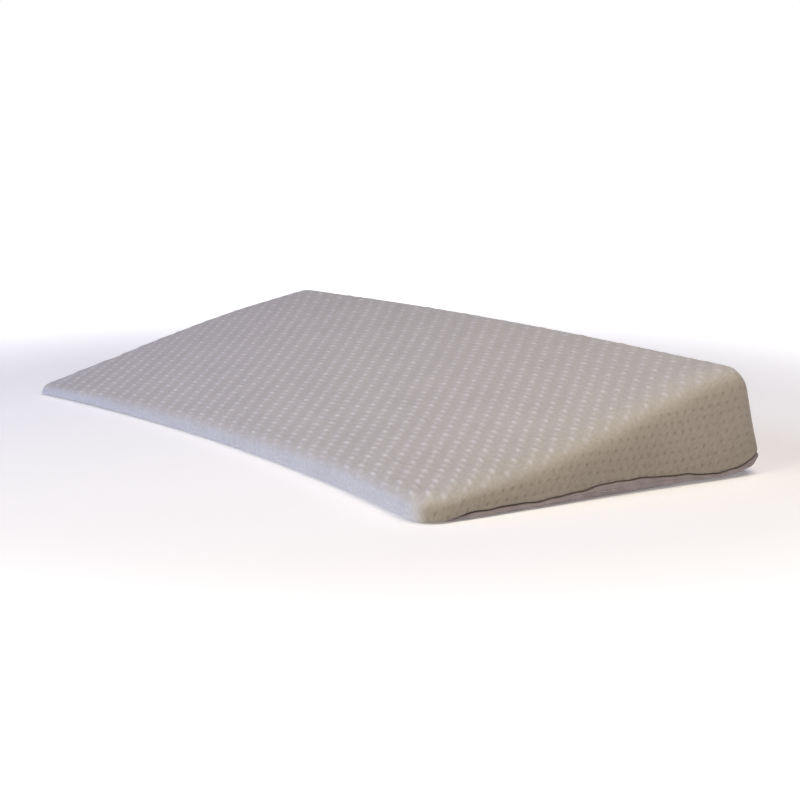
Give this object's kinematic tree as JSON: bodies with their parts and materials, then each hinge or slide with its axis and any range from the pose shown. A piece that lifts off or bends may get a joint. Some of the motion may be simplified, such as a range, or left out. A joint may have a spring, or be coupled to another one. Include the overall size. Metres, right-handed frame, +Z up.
{
  "type": "wedge pillow",
  "caption": "Low foam-filled wedge pillow in a pale bubble-knit cover, with a crowned slope, rounded edges and a seam just above a flat base panel.",
  "frame": {"origin": "on the surface that the pillow rests on, under the middle of its bounding box", "axes": "+X along the thin edge, +Y from the thin edge towards the thick end, +Z up"},
  "size_m": [0.5996, 0.2954, 0.0832],
  "materials": {
    "bubble_knit": "matt off-white double knit with small raised bubbles in staggered rows",
    "base_knit": "matt off-white flat double knit, slightly greyer than the cover"
  },
  "bodies": {
    "root": {"filled_wedge": "bubble_knit", "base_panel": "base_knit"}
  },
  "joints": []
}
